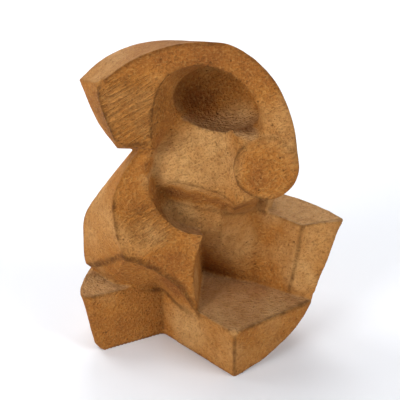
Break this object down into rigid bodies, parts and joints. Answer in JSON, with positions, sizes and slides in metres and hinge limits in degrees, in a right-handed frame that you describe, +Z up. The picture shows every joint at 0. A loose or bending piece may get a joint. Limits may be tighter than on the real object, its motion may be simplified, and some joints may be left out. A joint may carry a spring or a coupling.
{
  "type": "abstract terracotta sculpture",
  "caption": "Abstract block-like terracotta sculpture: arched head with a hollow and a round snout, seated body with a curved arm, open lap and a raised side block.",
  "frame": {"origin": "bottom centre of the bounding box, on the surface the sculpture stands on", "axes": "+X to the viewer's right, +Y away from the viewer who faces the snout, +Z up"},
  "size_m": [0.2676, 0.1744, 0.3426],
  "materials": {
    "terracotta": "matte fired clay with a darker patina along the edges, fine grit pits and scraped tool marks"
  },
  "bodies": {
    "root": {"sculpture": "terracotta"}
  },
  "joints": []
}
